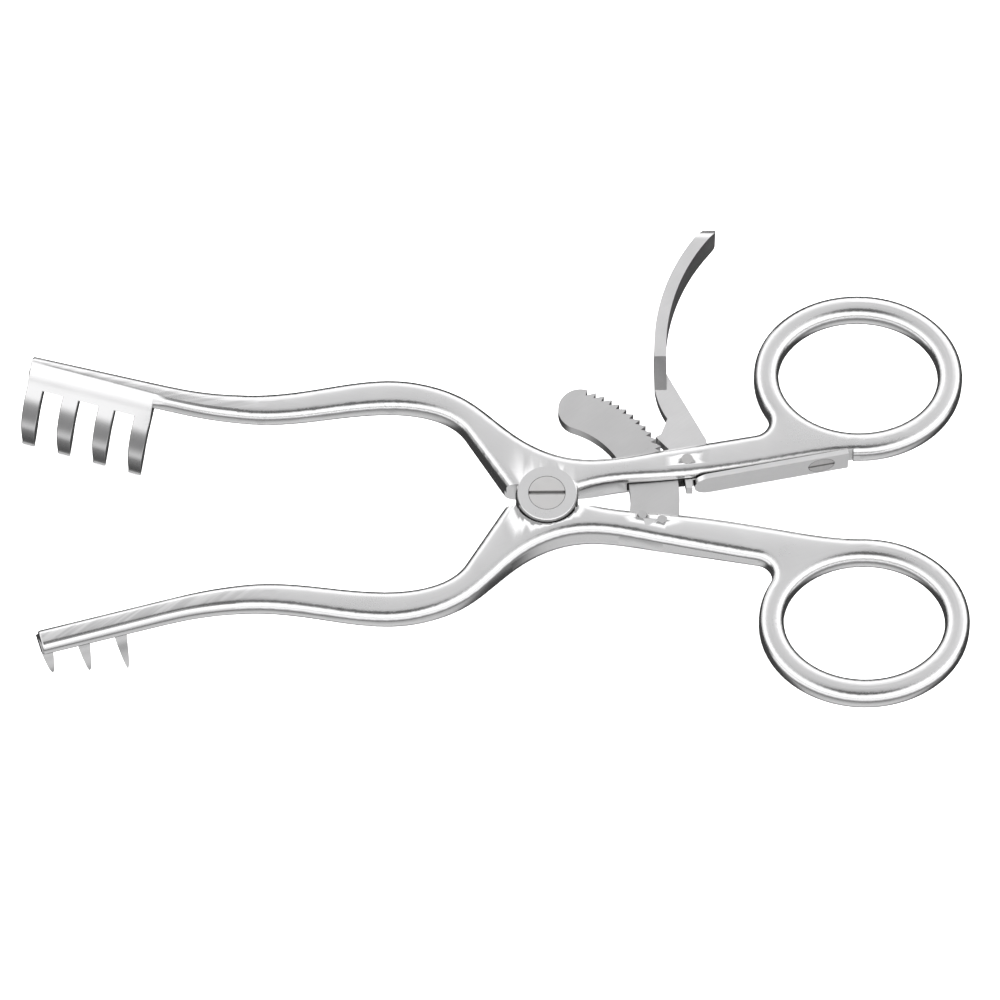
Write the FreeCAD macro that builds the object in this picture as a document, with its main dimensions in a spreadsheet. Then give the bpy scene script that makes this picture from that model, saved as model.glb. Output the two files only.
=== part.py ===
import FreeCAD, Part
import math
import os

import Sketcher

Vector = FreeCAD.Vector

# Driving sizes in millimetres and degrees, each written once.
# x runs from the jaws to the finger rings, y towards the four-prong arm, z up; the joint's axis is z.
SIZES = {
    # Half-lap joint
    "joint_thickness": 7.5,
    "lap_gap": 0.1,
    "disc_radius": 5.4,
    "disc_clearance": 0.5,
    "disc_bevel": 0.35,
    "shoulder_height": 2.3,
    "shoulder_reach": 12.0,
    # Joint screw
    "screw_head_radius": 3.15,
    "screw_head_height": 1.3,
    "screw_head_clearance": 0.08,
    "screw_shank_radius": 1.9,
    "screw_running_gap": 0.05,
    "screw_slot_width": 0.8,
    "screw_slot_depth": 0.7,
    # Jaw bar and neck, seen from above
    "jaw_end_x": -89.4,
    "jaw_end_y": 28.7,
    "jaw_slope": 14.6,
    "jaw_bar_length": 24.0,
    "jaw_bar_width": 3.8,
    "jaw_grind_depth": 0.5,
    "jaw_grind_length": 34.0,
    "bow_valley_x": -50.0,
    "bow_valley_y": 17.65,
    "bow_valley_width": 4.5,
    "bow_crest_x": -27.0,
    "bow_crest_y": 20.0,
    "bow_crest_width": 5.4,
    "neck_outer_x": -14.5,
    "neck_outer_y": 19.6,
    "neck_foot_x": -7.0,
    "neck_foot_y": 1.8,
    "neck_slope": 57.0,
    "neck_length": 13.0,
    "web_outer_x": -4.7,
    "web_outer_y": 11.3,
    "waist_outer_x": 4.5,
    "waist_outer_y": 7.25,
    # Shank, seen from above
    "shank_start_x": 20.0,
    "shank_outer_y": 8.9,
    "shank_inner_y": 3.3,
    "shank_slope": 10.5,
    "shank_root_x": 5.7,
    "shank_root_y": 1.1,
    "shank_end_x": 40.0,
    "shank_end_y": 6.2,
    # Finger ring
    "ring_centre_x": 54.5,
    "ring_centre_y": 23.6,
    "ring_hole_half_length": 13.9,
    "ring_hole_half_width": 11.2,
    "ring_wire": 4.3,
    "ring_corner_radius": 3.0,
    # Thickness of an arm from its jaw to its ring
    "jaw_thickness": 4.6,
    "bow_thickness": 5.1,
    "neck_thickness": 5.6,
    "shank_thickness": 6.4,
    "ring_thickness": 5.1,
    # Rounded edges
    "ring_hole_edge_radius": 1.9,
    "outer_edge_radius": 1.8,
    "inner_edge_radius": 1.7,
    "edge_relief": 0.02,
    # Prongs of the jaws
    "prong_width": 2.4,
    "prong_pitch": 6.5,
    "prong_depth": 26.1,
    "prong_root_depth": 4.3,
    "prong_bow": 5.5,
    "prong_thickness": 2.6,
    "prong_tip_thickness": 0.5,
    "prong_tip_facet": 1.2,
    "prong_corner_radius": 0.6,
    "upper_prong_tip_width": 2.0,
    "upper_prong_lean": -1.2,
    "lower_prong_tip_width": 0.4,
    "lower_prong_lean": 0.5,
    "lower_prong_taper_depth": 16.0,
    "upper_prong_taper_depth": 8.0,
    "jaw_strip_width": 1.5,
    "jaw_strip_flare": 2.6,
    "jaw_plate_slope": 40.0,
    "jaw_plate_length": 3.4,
    "upper_prongs": 4,
    "lower_prongs": 3,
    # Ratchet rack
    "rack_inner_radius": 14.5,
    "rack_tip_radius": 22.3,
    "rack_heel_step": 0.7,
    "rack_thickness": 2.4,
    "rack_free_angle": 71.0,
    "rack_root_angle": -18.0,
    "rack_teeth": 14,
    "tooth_pitch_angle": 4.0,
    "tooth_depth": 1.1,
    "rack_slot_gap": 0.3,
    "rivet_radius": 0.75,
    "rivet_inset": 2.5,
    "rivet_angle": -14.0,
    # Release lever
    "lever_pivot_angle": 15.355,
    "lever_pivot_wall": 1.3,
    "lever_thickness": 2.4,
    "lever_slot_margin": 5.9,
    "lever_pin_radius": 1.0,
    "lever_pin_gap": 0.05,
    "beak_gap": 0.12,
    "paddle_thickness": 2.1,
    "paddle_width": 6.8,
    "paddle_bend_radius": 35.0,
    "paddle_bend_angle": 42.0,
    "paddle_foot_left": 4.4,
    "paddle_foot_rise": 14.3,
    "paddle_bend_rise": 21.3,
    "paddle_flare": 5.5,
    "paddle_tip_radius": 2.6,
    "beak_angle": 32.0,
    "beak_span": 8.0,
    "lever_throat_left": 0.8,
    "lever_tail_left": 0.2,
    "lever_tail_drop": 4.7,
    "lever_tail_width": 1.1,
    "lever_foot_right": 2.8,
    "lever_back_right": 4.0,
    "lever_heel_right": 3.4,
    "lever_heel_rise": 4.6,
    "lever_cheek_left": 3.3,
    "lever_cheek_rise": 8.7,
    "lever_neck_rise": 17.5,
    "lever_neck_radius": 14.0,
    # Leaf spring
    "spring_tip_right": 1.1,
    "spring_seat_x": 52.3,
    "spring_line_x": 40.0,
    "spring_line_y": 6.2,
    "spring_slope": 10.7,
    "spring_thickness": 0.9,
    "spring_width": 5.6,
    "spring_tip_round": 2.7,
    "spring_gap": 0.08,
    "spring_screw_x": 47.6,
    "spring_screw_head_radius": 2.25,
    "spring_screw_shank_radius": 1.1,
    "spring_screw_head_height": 0.5,
    "spring_screw_slot_width": 0.6,
    "spring_screw_length": 3.2,
    # Margin that every cutting tool runs past the metal
    "tool_margin": 1.0,
}

document = FreeCAD.newDocument("retractor")
sheet = document.addObject("Spreadsheet::Sheet", "Sizes")
for row, (alias, value) in enumerate(SIZES.items(), start=1):
    sheet.set(f"A{row}", alias)
    sheet.set(f"B{row}", str(value))
    sheet.setAlias(f"B{row}", alias)
document.recompute()


def size(alias):
    """The value that the sheet holds for one named size."""
    return float(sheet.get(alias))


def point(x, y, z=0.0):
    return Vector(x, y, z)


def direction(angle):
    """Unit vector in the plan, at an angle in degrees from +x."""
    return Vector(math.cos(math.radians(angle)), math.sin(math.radians(angle)), 0)


def bind(item, formulas):
    """Tie properties of one object to cells of the sheet."""
    for name, formula in formulas.items():
        item.setExpression(name, formula)
    return item


def cylinder(name, radius, height, x="0", y="0", z="0", sweep="360", turn="0"):
    """Upright cylinder or pie slice bound to the sheet."""
    item = document.addObject("Part::Cylinder", name)
    return bind(item, {
        "Radius": radius,
        "Height": height,
        "Angle": sweep,
        ".Placement.Base.x": x,
        ".Placement.Base.y": y,
        ".Placement.Base.z": z,
        ".Placement.Rotation.Angle": turn,
    })


def box(name, length, width, height, x, y, z):
    """Upright block bound to the sheet, given from its lowest corner."""
    item = document.addObject("Part::Box", name)
    return bind(item, {
        "Length": length,
        "Width": width,
        "Height": height,
        ".Placement.Base.x": x,
        ".Placement.Base.y": y,
        ".Placement.Base.z": z,
    })


def feature(name, shape):
    """Free-form shape kept as one object of the document."""
    item = document.addObject("Part::Feature", name)
    item.Shape = shape
    return item


def fuse(name, pieces):
    item = document.addObject("Part::MultiFuse", name)
    item.Shapes = pieces
    return item


def common(name, pieces):
    item = document.addObject("Part::MultiCommon", name)
    item.Shapes = pieces
    return item


def cut(name, base, tool):
    item = document.addObject("Part::Cut", name)
    item.Base = base
    item.Tool = tool
    return item


def body_named(label):
    item = document.addObject("PartDesign::Body", label)
    item.Label = label
    return item


def sketch_on(body, name, role, lift="0"):
    """Sketch on one of the body's own origin planes, lifted along the plane's normal."""
    sketch = body.newObject("Sketcher::SketchObject", name)
    plane = next(item for item in body.Origin.OriginFeatures if item.Role == role)
    sketch.AttachmentSupport = [(plane, "")]
    sketch.MapMode = "FlatFace"
    sketch.setExpression(".AttachmentOffset.Base.z", lift)
    return sketch


def arc_between(start, end, radius):
    """Arc through two points: a positive radius bulges to the right of the way from start to end."""
    middle = (start + end) * 0.5
    half = start.distanceToPoint(end) / 2
    along = (end - start).normalize()
    left = Vector(-along.y, along.x, 0)
    reach = math.sqrt(max(radius * radius - half * half, 0.0))
    centre = middle + left * (reach if radius > 0 else -reach)
    first, last = (start, end) if radius > 0 else (end, start)
    a = math.atan2(first.y - centre.y, first.x - centre.x)
    b = math.atan2(last.y - centre.y, last.x - centre.x)
    if b < a:
        b += 2 * math.pi
    return Part.ArcOfCircle(Part.Circle(centre, Vector(0, 0, 1), abs(radius)), a, b)


def draw_outline(sketch, corners, rounds=None):
    """Closed outline whose corners, given as formulas, and arc radii are bound to the sheet.

    rounds maps a side's number to a radius formula, or to "half turn" for a semicircle.
    """
    rounds = rounds or {}
    prefix = f"c{sketch.GeometryCount}"
    first = sketch.GeometryCount
    places = [point(sheet.evalExpression(x), sheet.evalExpression(y)) for x, y in corners]
    starts = []
    for side, start in enumerate(places):
        end = places[(side + 1) % len(places)]
        if side in rounds:
            if rounds[side] == "half turn":
                radius = start.distanceToPoint(end) / 2
            else:
                radius = sheet.evalExpression(rounds[side])
            geometry = arc_between(start, end, radius)
            starts.append(1 if radius > 0 else 2)
        else:
            geometry = Part.LineSegment(start, end)
            starts.append(1)
        sketch.addGeometry(geometry, False)
    count = len(places)
    for side in range(count):
        after = (side + 1) % count
        sketch.addConstraint(Sketcher.Constraint(
            "Coincident", first + side, 3 - starts[side], first + after, starts[after]))
        if side in rounds and rounds[side] == "half turn":
            sketch.addConstraint(Sketcher.Constraint("Angle", first + side, math.pi))
        elif side in rounds:
            value = abs(sheet.evalExpression(rounds[side]))
            sketch.addConstraint(Sketcher.Constraint("Radius", first + side, value))
            name = f"{prefix}_round{side}"
            sketch.renameConstraint(sketch.ConstraintCount - 1, name)
            sketch.setExpression(f"Constraints.{name}", f"abs({rounds[side]})")
    for corner, formulas in enumerate(corners):
        for kind, formula, value, axis in zip(
                ("DistanceX", "DistanceY"), formulas, (places[corner].x, places[corner].y), (-2, -1)):
            here = (first + corner, starts[corner])
            if abs(value) < 1e-9:
                sketch.addConstraint(Sketcher.Constraint("PointOnObject", *here, axis))
                continue
            ends = (-1, 1, *here) if value > 0 else (*here, -1, 1)
            sketch.addConstraint(Sketcher.Constraint(kind, *ends, abs(value)))
            name = f"{prefix}_{kind[-1].lower()}{corner}"
            sketch.renameConstraint(sketch.ConstraintCount - 1, name)
            sketch.setExpression(f"Constraints.{name}", formula if value > 0 else f"-({formula})")


def pad(body, name, sketch, length):
    """Pad to the same height on both sides of the sketch."""
    item = body.newObject("PartDesign::Pad", name)
    item.Profile = sketch
    item.Midplane = True
    item.setExpression("Length", length)
    return item


def pocket_through(body, name, sketch):
    item = body.newObject("PartDesign::Pocket", name)
    item.Profile = sketch
    item.Midplane = True
    item.Type = "ThroughAll"
    return item


def revolve(body, name, sketch):
    item = body.newObject("PartDesign::Revolution", name)
    item.Profile = sketch
    item.ReferenceAxis = (sketch, ["V_Axis"])
    item.Angle = 360
    return item


# Heights that several pieces share
MIDDLE = "Sizes.joint_thickness / 2"
TOP = "Sizes.joint_thickness"
mid_height = size("joint_thickness") / 2

# Places that follow the rack: its heel, its rivets and the lever's pivot just outside it
RACK_OUTER = "(Sizes.rack_tip_radius + Sizes.rack_heel_step)"
PIVOT_RADIUS = f"({RACK_OUTER} + Sizes.lever_pivot_wall + Sizes.lever_pin_radius)"
PIVOT_X = f"({PIVOT_RADIUS} * cos(Sizes.lever_pivot_angle))"
PIVOT_Y = f"({PIVOT_RADIUS} * sin(Sizes.lever_pivot_angle))"
SPRING_TIP_X = f"({PIVOT_X} + Sizes.spring_tip_right)"
PAST = "Sizes.tool_margin"


# Thickness envelope: thick at the joint, thinner towards the jaw and the ring

def smooth_curve(points, start, end):
    """Spline through the points, leaving and arriving along two unit vectors."""
    stops = [0.0]
    for here, after in zip(points, points[1:]):
        stops.append(stops[-1] + here.distanceToPoint(after))
    curve = Part.BSplineCurve()
    curve.interpolate(Points=points, Parameters=stops, InitialTangent=start,
                      FinalTangent=end, Scale=False)
    return curve.toShape()


def thickness_envelope():
    """Solid that every arm, pin and rivet is ground down to."""
    far_jaw = size("jaw_end_x") - size("jaw_bar_length")
    far_ring = size("ring_centre_x") + 2 * size("ring_hole_half_length")
    crest, neck = size("bow_crest_x"), size("neck_outer_x")
    shank, ring = size("shank_start_x"), size("shank_end_x")
    stations = [
        (far_jaw, size("jaw_thickness")),
        (size("bow_valley_x"), size("jaw_thickness")),
        (crest, size("bow_thickness")),
        (neck, size("neck_thickness")),
        (neck / 2, size("joint_thickness")),
        (0.0, size("joint_thickness")),
        (shank / 2, size("joint_thickness")),
        (shank, size("shank_thickness")),
        (ring, size("ring_thickness")),
        (size("ring_centre_x"), size("ring_thickness")),
        (far_ring, size("ring_thickness")),
    ]
    sides = []
    for sign in (1, -1):
        curve = Part.BSplineCurve()
        curve.buildFromPoles([Vector(x, 0, mid_height + sign * t / 2) for x, t in stations])
        sides.append(curve.toShape())
    top, bottom = sides
    ends = [Part.makeLine(top.Vertexes[i].Point, bottom.Vertexes[i].Point) for i in (0, 1)]
    face = Part.Face(Part.Wire(Part.__sortEdges__([top, ends[0], bottom, ends[1]])))
    reach = 4 * size("ring_centre_y")
    face.translate(Vector(0, -reach / 2, 0))
    return face.extrude(Vector(0, reach, 0))


envelope_shape = thickness_envelope()


# Forging that both arms start from: bar, neck, web, shank and ring in one outline

def ellipse(half_length, half_width):
    centre = point(size("ring_centre_x"), size("ring_centre_y"))
    return Part.Ellipse(centre, half_length, half_width)


def shank_meets_ring(start, along, half_length, half_width):
    """First point of the shank's outer line on the ring's outer ellipse."""
    away = start - point(size("ring_centre_x"), size("ring_centre_y"))
    a = (along.x / half_length) ** 2 + (along.y / half_width) ** 2
    b = 2 * (away.x * along.x / half_length ** 2 + away.y * along.y / half_width ** 2)
    c = (away.x / half_length) ** 2 + (away.y / half_width) ** 2 - 1
    return start + along * ((-b - math.sqrt(b * b - 4 * a * c)) / (2 * a))


def forging_outline():
    """Closed plan outline of one arm, four-prong side up."""
    jaw_way = direction(-size("jaw_slope"))
    jaw_side = direction(90 - size("jaw_slope"))
    jaw_outer = point(size("jaw_end_x"), size("jaw_end_y"))
    jaw_inner = jaw_outer - jaw_side * size("jaw_bar_width")
    bar_outer = jaw_outer + jaw_way * size("jaw_bar_length")
    bar_inner = jaw_inner + jaw_way * size("jaw_bar_length")
    valley = point(size("bow_valley_x"), size("bow_valley_y"))
    crest = point(size("bow_crest_x"), size("bow_crest_y"))
    half_valley = point(0, size("bow_valley_width") / 2)
    half_crest = point(0, size("bow_crest_width") / 2)
    neck_way = direction(-size("neck_slope"))
    neck_foot = point(size("neck_foot_x"), size("neck_foot_y"))
    neck_top = neck_foot - neck_way * size("neck_length")

    shank_way = direction(size("shank_slope"))
    shank_outer = point(size("shank_start_x"), size("shank_outer_y"))
    half_length = size("ring_hole_half_length") + size("ring_wire")
    half_width = size("ring_hole_half_width") + size("ring_wire")
    corner = shank_meets_ring(shank_outer, shank_way, half_length, half_width)
    centre = point(size("ring_centre_x"), size("ring_centre_y"))
    turn = math.atan2((corner.y - centre.y) / half_width, (corner.x - centre.x) / half_length)
    ring = Part.ArcOfEllipse(ellipse(half_length, half_width), -math.pi / 2, turn + 2 * math.pi)
    ring_foot = centre - point(0, half_width)
    shank_root = point(size("shank_root_x"), size("shank_root_y"))

    edges = [
        Part.makeLine(jaw_inner, jaw_outer),
        Part.makeLine(jaw_outer, bar_outer),
        smooth_curve([
            bar_outer,
            valley + half_valley,
            crest + half_crest,
            point(size("neck_outer_x"), size("neck_outer_y")),
            point(size("web_outer_x"), size("web_outer_y")),
            point(size("waist_outer_x"), size("waist_outer_y")),
            shank_outer,
        ], jaw_way, shank_way),
        Part.makeLine(shank_outer, corner),
        ring.toShape(),
        smooth_curve([
            ring_foot,
            point(size("shank_end_x"), size("shank_end_y")),
            point(size("shank_start_x"), size("shank_inner_y")),
            shank_root,
        ], direction(180), direction(180 + 2 * size("shank_slope"))),
        Part.makeLine(shank_root, neck_foot),
        Part.makeLine(neck_foot, neck_top),
        smooth_curve([neck_top, crest - half_crest, valley - half_valley, bar_inner],
                     neck_way * -1, jaw_way * -1),
        Part.makeLine(bar_inner, jaw_inner),
    ]
    return Part.Wire(Part.__sortEdges__(edges)), corner


def edges_by_middle(shape, test):
    """Edges lying along the plan's outline whose middle passes the test."""
    found = []
    for edge in shape.Edges:
        span = edge.BoundBox
        upright = span.ZLength > mid_height / 2 and span.XLength < 0.1 and span.YLength < 0.1
        if not upright and test(edge.valueAt((edge.FirstParameter + edge.LastParameter) / 2)):
            found.append(edge)
    return found


def forging():
    """One arm before its lap, jaw and slots are cut."""
    wire, corner = forging_outline()
    height = 2 * size("joint_thickness")
    plate = Part.Face(wire).extrude(Vector(0, 0, height))
    hole_wire = Part.Wire(ellipse(size("ring_hole_half_length"), size("ring_hole_half_width")).toShape())
    plate = plate.cut(Part.Face(hole_wire).extrude(Vector(0, 0, height)))
    plate.translate(Vector(0, 0, mid_height - height / 2))
    shape = plate.common(envelope_shape).Solids[0]

    upright = [edge for edge in shape.Edges
               if edge.BoundBox.XLength < 0.1 and edge.CenterOfMass.distanceToPoint(
                   corner + Vector(0, 0, mid_height)) < 0.1]
    shape = shape.makeFillet(size("ring_corner_radius"), upright)

    centre_x, centre_y = size("ring_centre_x"), size("ring_centre_y")
    length, width = size("ring_hole_half_length"), size("ring_hole_half_width")
    hole = edges_by_middle(shape, lambda p: (
        ((p.x - centre_x) / length) ** 2 + ((p.y - centre_y) / width) ** 2 < 1 + size("ring_wire") / length))
    return shape.makeFillet(size("ring_hole_edge_radius"), hole)


def round_edges(shape):
    """Round the outer edges from jaw round the ring to the joint, then the inner edges of bow and neck."""
    crest = size("bow_crest_y")
    outer = edges_by_middle(shape, lambda p: abs(p.x - size("bow_crest_x")) < abs(size("bow_crest_x"))
                            and p.y > crest)
    shape = shape.makeFillet(size("outer_edge_radius"), outer)
    inner = edges_by_middle(shape, lambda p: size("jaw_end_x") < p.x < size("neck_foot_x")
                            and size("neck_foot_y") < p.y < crest - size("bow_crest_width") / 4)
    return shape.makeFillet(size("inner_edge_radius"), inner)


def ground_jaw(shape):
    """Grind the top of the jaw flat and slope the side that the prongs' plate rolls over."""
    past = size("tool_margin")
    length = size("jaw_grind_length")
    top = mid_height + size("jaw_thickness") / 2
    wedge = Part.Face(Part.makePolygon([
        point(-past, top - size("jaw_grind_depth") * (1 + past / length)),
        point(length, top),
        point(length, top + past),
        point(-past, top + past),
        point(-past, top - size("jaw_grind_depth") * (1 + past / length)),
    ])).extrude(Vector(0, 0, 4 * size("jaw_bar_width")))
    wedge.rotate(Vector(0, 0, 0), Vector(1, 0, 0), 90)
    wedge.translate(Vector(0, 2 * size("jaw_bar_width"), 0))
    wedge.rotate(Vector(0, 0, 0), Vector(0, 0, 1), -size("jaw_slope"))
    wedge.translate(point(size("jaw_end_x"), size("jaw_end_y")))
    down = direction(270 - size("jaw_plate_slope"))
    away = direction(180 - size("jaw_plate_slope"))
    start = down * -2 * past
    end = down * (size("jaw_plate_length") + past)
    reach = size("jaw_bar_width") + past
    roll = Part.Face(Part.makePolygon([start, end, end + away * reach, start + away * reach, start]))
    return shape.cut(wedge).cut(along_jaw(roll, -past, length))


# Prongs: one bent claw section, combed into prongs with pointed tips

# Front of a prong below its plate: share of the bow reached inwards at each share of the depth
PRONG_FRONT = [(0.78, 0.25), (0.96, 0.42), (1.00, 0.575), (0.91, 0.73)]
# Back of a prong: share of the full thickness behind the front at each share of the depth
PRONG_BACK = [(0.91, 0.73, 0.80), (1.00, 0.575, 1.00), (0.96, 0.42, 1.10), (0.78, 0.25, 1.25)]
PRONG_END = 0.71
PRONG_HOOK = 20


def along_jaw(section, start, length):
    """Extrude a section across the jaw: its x is the distance outward from the strip's inner edge, its y the height."""
    solid = section.extrude(Vector(0, 0, length - start))
    solid.translate(Vector(0, 0, start))
    solid.rotate(Vector(0, 0, 0), Vector(1, 0, 0), 90)
    solid.rotate(Vector(0, 0, 0), Vector(0, 0, 1), 90)
    return on_jaw(solid)


def on_jaw(solid):
    """Place a solid drawn along +x from the inner edge of the jaw's ground strip."""
    solid.rotate(Vector(0, 0, 0), Vector(0, 0, 1), -size("jaw_slope") - size("jaw_strip_flare"))
    inner = direction(90 - size("jaw_slope")) * size("jaw_strip_width")
    top = mid_height + size("jaw_thickness") / 2 - size("jaw_grind_depth")
    solid.translate(point(size("jaw_end_x"), size("jaw_end_y"), top) - inner)
    return solid


def claw_section():
    """Section of plate and prong across the jaw."""
    depth, bow, thickness = size("prong_depth"), size("prong_bow"), size("prong_thickness")
    down = direction(270 - size("jaw_plate_slope"))
    fold = down * size("jaw_plate_length")
    hook = direction(270 + PRONG_HOOK)
    foot = point(-bow * PRONG_END, -depth + size("prong_tip_facet"))
    toe = point(foot.x, -depth)
    tip = point(foot.x + size("prong_tip_thickness"), -depth)
    inside = point(size("jaw_strip_width") / 2, -size("jaw_thickness") / 2)
    front = smooth_curve([fold] + [point(-bow * in_share, -depth * down_share)
                                   for in_share, down_share in PRONG_FRONT] + [foot], down, hook)
    rear = smooth_curve([tip] + [point(-bow * in_share + thickness * thick_share, -depth * down_share)
                                 for in_share, down_share, thick_share in PRONG_BACK] + [inside],
                        hook * -1, direction(45))
    edges = [Part.makeLine(point(0, 0), fold), front, Part.makeLine(foot, toe), Part.makeLine(toe, tip), rear,
             Part.makeLine(inside, point(0, 0))]
    return Part.Face(Part.Wire(Part.__sortEdges__(edges)))


def prong_comb(side, start):
    """Solid that keeps the plate and the prongs of one row: x along the jaw, z up."""
    count = int(size(f"{side}_prongs"))
    width = size("prong_width")
    pitch = size("prong_pitch")
    past = size("tool_margin")
    root = -size("prong_root_depth")
    taper = -size(f"{side}_prong_taper_depth")
    tip = -size("prong_depth") - past
    half_tip = size(f"{side}_prong_tip_width") / 2
    lean = size(f"{side}_prong_lean")
    last = start + (count - 1) * pitch + width
    corners = [point(0, past)] + [point(0, root)] * (start > 0)
    for number in range(count):
        left = start + number * pitch
        middle = left + width / 2 + lean
        slant = lean * (taper - root) / (tip - root)
        corners += [point(left, root), point(left + slant, taper), point(middle - half_tip, tip),
                    point(middle + half_tip, tip), point(left + width + slant, taper), point(left + width, root)]
    corners += [point(last, past), point(0, past)]
    solid = Part.Face(Part.makePolygon(corners)).extrude(Vector(0, 0, 4 * size("prong_bow")))
    inner_corners = [edge for edge in solid.Edges
                     if edge.BoundBox.ZLength > past and abs(edge.BoundBox.YMin - root) < size("edge_relief")
                     and start - past < edge.BoundBox.XMin < last - past
                     and edge.BoundBox.XMin > past / 2]
    solid = solid.makeFillet(size("prong_corner_radius"), inner_corners)
    solid.rotate(Vector(0, 0, 0), Vector(1, 0, 0), 90)
    solid.translate(Vector(0, 2 * size("prong_bow"), 0))
    return on_jaw(solid)


def prongs(side, start):
    """Row of prongs in place under the bar of the four-prong side."""
    length = start + (size(f"{side}_prongs") - 1) * size("prong_pitch") + size("prong_width")
    return along_jaw(claw_section(), 0, length).common(prong_comb(side, start)).Solids[0]


def lap_disc():
    """Half of the lap, with a bevelled rim, lying on the plane z = 0."""
    height = mid_height - size("lap_gap") / 2
    disc = Part.makeCylinder(size("disc_radius"), height)
    rim = [edge for edge in disc.Edges if edge.BoundBox.ZMin > height / 2 and edge.Closed]
    return disc.makeChamfer(size("disc_bevel"), rim)


across = Vector(0, 1, 0)
origin = Vector(0, 0, 0)
blank = ground_jaw(round_edges(forging()))
envelope = feature("ground_faces", envelope_shape)
upper_blank = feature("upper_forging", blank)
lower_blank = feature("lower_forging", blank.mirror(origin, across))
upper_row = feature("upper_prong_row", prongs("upper", 0))
lower_row = feature("lower_prong_row", prongs("lower", size("prong_pitch") / 2).mirror(origin, across))
upper_disc_shape = lap_disc()
upper_disc_shape.translate(Vector(0, 0, mid_height + size("lap_gap") / 2))
upper_disc = feature("upper_disc", upper_disc_shape)
lower_disc = feature("lower_disc", lap_disc().mirror(origin, Vector(0, 0, 1)))
lower_disc.Placement.Base.z = mid_height - size("lap_gap") / 2


# Cuts in the arms

def lap_recess(side, floor):
    """Room in one arm for the other arm's half disc and the corner that sweeps over the shoulder."""
    depth = f"{MIDDLE} + Sizes.lap_gap / 2 + {PAST}"
    low = f"-{PAST}" if floor else f"{MIDDLE} - Sizes.lap_gap / 2"
    round_room = cylinder(f"{side}_recess", "Sizes.disc_radius + Sizes.disc_clearance", depth, z=low)
    shoulder = box(f"{side}_shoulder", "2 * Sizes.shoulder_reach", "2 * Sizes.shoulder_height", depth,
                   "-Sizes.shoulder_reach", "-Sizes.shoulder_height", low)
    return [round_room, shoulder]


def ring_slot(name, inner, outer, turn, sweep, clearance):
    """Curved slot about the joint, level with the rack."""
    height = f"Sizes.rack_thickness + 2 * {clearance}"
    low = f"{MIDDLE} - Sizes.rack_thickness / 2 - {clearance}"
    whole = cylinder(f"{name}_outside", outer, height, z=low, sweep=sweep, turn=turn)
    core = cylinder(f"{name}_core", inner, height, z=low)
    return cut(name, whole, core)


def spring_top(x):
    """Formula for the height in y of the spring's upper face at one x."""
    return f"(Sizes.spring_line_y - (Sizes.spring_line_x - ({x})) * tan(Sizes.spring_slope))"


def spring_seat():
    """Flat milled under the upper shank for the spring, ending in a step at the ring."""
    start = "Sizes.shank_start_x + Sizes.spring_thickness"
    length = "(Sizes.spring_seat_x + Sizes.spring_gap - Sizes.shank_start_x) / cos(Sizes.spring_slope)"
    width = "4 * Sizes.spring_thickness"
    item = box("spring_seat", length, width, "Sizes.joint_thickness", start, "0", "0")
    return bind(item, {
        ".Placement.Base.x": f"{start} + {width} * sin(Sizes.spring_slope)",
        ".Placement.Base.y": f"{spring_top(start)} + Sizes.spring_gap - {width} * cos(Sizes.spring_slope)",
        ".Placement.Rotation.Angle": "Sizes.spring_slope",
    })


screw_point = point(size("spring_screw_x"), sheet.evalExpression(spring_top("Sizes.spring_screw_x")), mid_height)
spring_turn = FreeCAD.Rotation(Vector(0, 0, 1), size("spring_slope"))
square_on_spring = spring_turn.multiply(FreeCAD.Rotation(Vector(1, 0, 0), 90))

upper_tools = lap_recess("upper", True) + [
    cylinder("screw_way", "Sizes.screw_shank_radius + Sizes.screw_running_gap", TOP),
    cylinder("screw_head_room", "Sizes.screw_head_radius + Sizes.screw_head_clearance", TOP,
             z=f"{TOP} - Sizes.screw_head_height - Sizes.screw_head_clearance"),
    ring_slot("rack_and_lever_slot", "Sizes.rack_inner_radius - Sizes.rack_slot_gap",
              f"{PIVOT_RADIUS} + Sizes.lever_slot_margin", "0", "90", "Sizes.rack_slot_gap"),
    cylinder("pin_way", "Sizes.lever_pin_radius", TOP, PIVOT_X, PIVOT_Y),
    spring_seat(),
]
thread = document.addObject("Part::Cylinder", "spring_screw_thread")
bind(thread, {"Radius": "Sizes.spring_screw_shank_radius", "Height": "Sizes.spring_screw_length"})
thread.Placement = FreeCAD.Placement(screw_point, spring_turn.multiply(FreeCAD.Rotation(Vector(1, 0, 0), -90)))
upper_tools.append(thread)

upper_solid = fuse("upper_solid", [upper_blank, upper_row])
upper_trimmed = cut("upper_trimmed", upper_solid, fuse("upper_lap", upper_tools[:2]))
upper_joined = fuse("upper_joined", [upper_trimmed, upper_disc])
four_prong_arm = cut("four_prong_arm", upper_joined, fuse("upper_cuts", upper_tools[2:]))

root_slot = ring_slot("rack_root_slot", "Sizes.rack_inner_radius", RACK_OUTER,
                      "Sizes.rack_root_angle", "-Sizes.rack_root_angle", "0")
RIVETS = [("inner_rivet", "(Sizes.rack_inner_radius + Sizes.rivet_inset)"),
          ("outer_rivet", f"({RACK_OUTER} - Sizes.rivet_inset)")]


def rivet(name, reach, purpose):
    """Rivet through the lower shank and the rack's root, at one distance from the joint."""
    return cylinder(f"{name}_{purpose}", "Sizes.rivet_radius", TOP,
                    f"{reach} * cos(Sizes.rivet_angle)", f"{reach} * sin(Sizes.rivet_angle)")


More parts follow.
